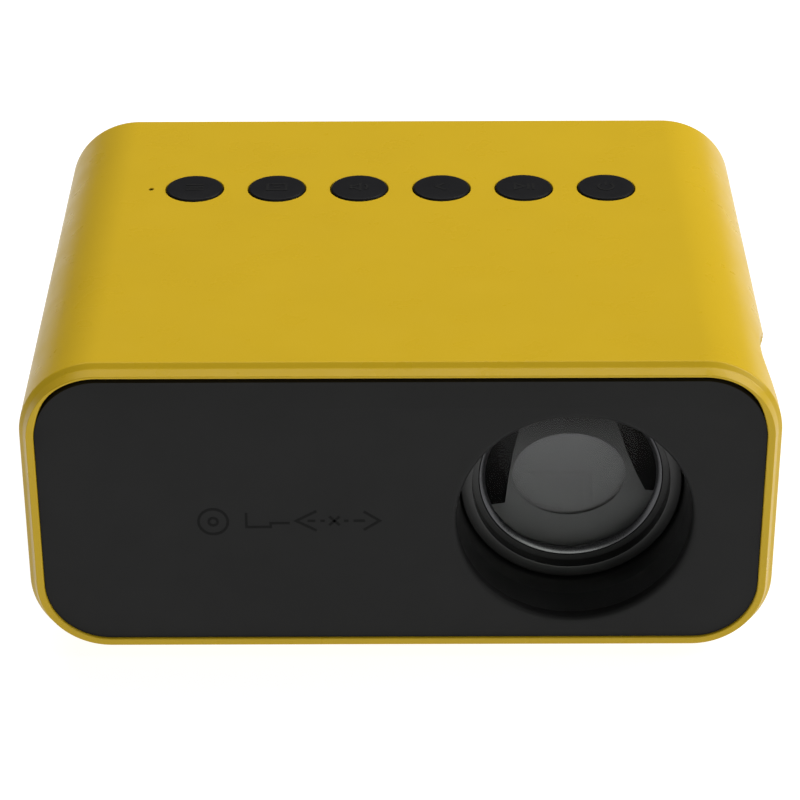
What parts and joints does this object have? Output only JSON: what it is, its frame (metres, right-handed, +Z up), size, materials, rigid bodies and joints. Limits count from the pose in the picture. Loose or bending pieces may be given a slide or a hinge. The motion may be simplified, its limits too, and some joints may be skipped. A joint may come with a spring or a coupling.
{
  "type": "home projector",
  "caption": "Palm-size home projector: a rounded one-piece sleeve with a black front, a recessed lens with a side focus knob, a row of round keys, and rear sockets and fan grille.",
  "frame": {"origin": "middle of the case's footprint, level with the undersides of the four feet", "axes": "+Z up; the lens and the front panel face -Y; +X is to the right for a viewer who faces the lens, which is the side with the focus knob"},
  "size_m": [0.118, 0.09, 0.0536],
  "materials": {
    "yellow_shell": "satin moulded ABS, mustard yellow",
    "front_black": "fine matt moulded plastic",
    "rear_black": "fine matt moulded plastic",
    "grey_plastic": "moulded plastic",
    "circuit_board": "glass-fibre laminate with solder mask",
    "clear_plastic": "clear acrylic",
    "lens_black": "satin black plastic",
    "ring_metal": "turned metal ring",
    "lens_glass": "polished, coated",
    "gear_plastic": "natural acetal",
    "knob_black": "ridged rim, satin face",
    "spring_steel": "stamped",
    "engine_black": "matt black, light-absorbing",
    "mirror_glass": "front-silvered glass",
    "lcd_glass": "display panel with polarisers",
    "aluminium": "extruded, bare",
    "led_ceramic": "phosphor-coated emitter",
    "fan_black": "moulded plastic",
    "socket_steel": "stamped and plated",
    "socket_black": "moulded plastic",
    "speaker_steel": "stamped basket and magnet",
    "speaker_paper": "pressed paper cone",
    "wire_red": "insulated lead",
    "ribbon_film": "flexible printed film",
    "key_black": "satin face with a polished edge",
    "switch_grey": "moulded plastic",
    "foot_rubber": "matt",
    "screw_steel": "blackened"
  },
  "bodies": {
    "case": {"audio_jack": "socket_black", "chassis_tray": "grey_plastic", "condenser_lens": "lens_glass", "entry_fresnel_lens": "clear_plastic", "exit_fresnel_lens": "clear_plastic", "fan_cable": "wire_red", "fan_frame": "fan_black", "fold_mirror": "mirror_glass", "foot_1": "foot_rubber", "foot_2": "foot_rubber", "foot_3": "foot_rubber", "foot_4": "foot_rubber", "front_panel": "front_black", "heat_sink": "aluminium", "key_board": "circuit_board", "key_ribbon": "ribbon_film", "lcd_panel": "lcd_glass", "lcd_ribbon": "ribbon_film", "led_board": "aluminium", "led_cable": "wire_red", "led_emitter": "led_ceramic", "lens_guide_tube": "lens_black", "light_funnel": "grey_plastic", "main_board": "circuit_board", "optical_cover": "engine_black", "optical_housing": "engine_black", "outer_sleeve": "yellow_shell", "power_socket": "socket_steel", "rear_panel": "rear_black", "rear_screw_1": "screw_steel", "rear_screw_2": "screw_steel", "rear_screw_3": "screw_steel", "rear_screw_4": "screw_steel", "speaker_basket": "speaker_steel", "speaker_cable": "wire_red", "speaker_cone": "speaker_paper", "status_light_pipe": "clear_plastic", "tact_switch_1": "switch_grey", "tact_switch_2": "switch_grey", "tact_switch_3": "switch_grey", "tact_switch_4": "switch_grey", "tact_switch_5": "switch_grey", "tact_switch_6": "switch_grey", "usb_socket": "socket_steel"},
    "menu_key": {"menu_key": "key_black"},
    "source_key": {"source_key": "key_black"},
    "volume_key": {"volume_key": "key_black"},
    "previous_key": {"previous_key": "key_black"},
    "play_key": {"play_key": "key_black"},
    "power_key": {"power_key": "key_black"},
    "focus_drive": {"focus_knob": "knob_black", "focus_pinion": "gear_plastic", "knob_clip": "spring_steel"},
    "lens_unit": {"lens_barrel": "lens_black", "lens_retaining_ring": "ring_metal", "front_lens": "lens_glass", "middle_lens": "lens_glass", "rear_lens": "lens_glass", "focus_rack": "gear_plastic"},
    "fan_wheel": {"fan_rotor": "fan_black"}
  },
  "joints": [
    {"name": "menu_press", "type": "slide", "parent": "case", "child": "menu_key", "axis": [0, 0, -1], "range_m": [0, 0.0006], "stiffness_N_per_m": 1500},
    {"name": "source_press", "type": "slide", "parent": "case", "child": "source_key", "axis": [0, 0, -1], "range_m": [0, 0.0006], "stiffness_N_per_m": 1500},
    {"name": "volume_press", "type": "slide", "parent": "case", "child": "volume_key", "axis": [0, 0, -1], "range_m": [0, 0.0006], "stiffness_N_per_m": 1500},
    {"name": "previous_press", "type": "slide", "parent": "case", "child": "previous_key", "axis": [0, 0, -1], "range_m": [0, 0.0006], "stiffness_N_per_m": 1500},
    {"name": "play_press", "type": "slide", "parent": "case", "child": "play_key", "axis": [0, 0, -1], "range_m": [0, 0.0006], "stiffness_N_per_m": 1500},
    {"name": "power_press", "type": "slide", "parent": "case", "child": "power_key", "axis": [0, 0, -1], "range_m": [0, 0.0006], "stiffness_N_per_m": 1500},
    {"name": "focus_turn", "type": "hinge", "parent": "case", "child": "focus_drive", "pos_m": [0.0565, -0.0247, 0.0307], "axis": [1, 0, 0], "range_deg": [-49.2, 49.2]},
    {"name": "lens_slide", "type": "slide", "parent": "case", "child": "lens_unit", "axis": [0, 1, 0], "range_m": [-0.003, 0.003]},
    {"name": "fan_spin", "type": "hinge", "parent": "case", "child": "fan_wheel", "pos_m": [-0.034, 0.0372, 0.0256], "axis": [0, 1, 0], "continuous": true}
  ],
  "couplings": [
    {"joint": "focus_turn", "follows": "lens_slide", "rad_per_m": 285.71}
  ]
}
